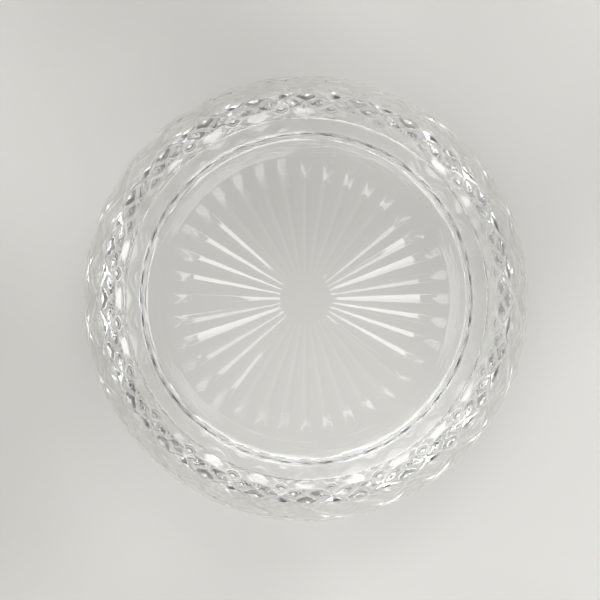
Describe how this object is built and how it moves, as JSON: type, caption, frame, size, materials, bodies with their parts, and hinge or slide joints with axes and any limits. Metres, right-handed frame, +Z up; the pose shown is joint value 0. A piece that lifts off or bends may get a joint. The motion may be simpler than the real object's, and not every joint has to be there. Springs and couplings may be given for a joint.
{
  "type": "dappen dish",
  "caption": "Small round open dish of clear cut glass with a bulging criss-cross wall, a narrower mouth and a star cut under its floor.",
  "frame": {"origin": "on the dish's axis, in the plane of the ring that it stands on", "axes": "+Z up along the axis, out through the mouth; +X and +Y across the dish, with a ray of the star along +X"},
  "size_m": [0.0658, 0.0658, 0.034],
  "materials": {
    "clear_glass": "polished, clear and colourless"
  },
  "bodies": {
    "root": {"glass_dish": "clear_glass"}
  },
  "joints": []
}
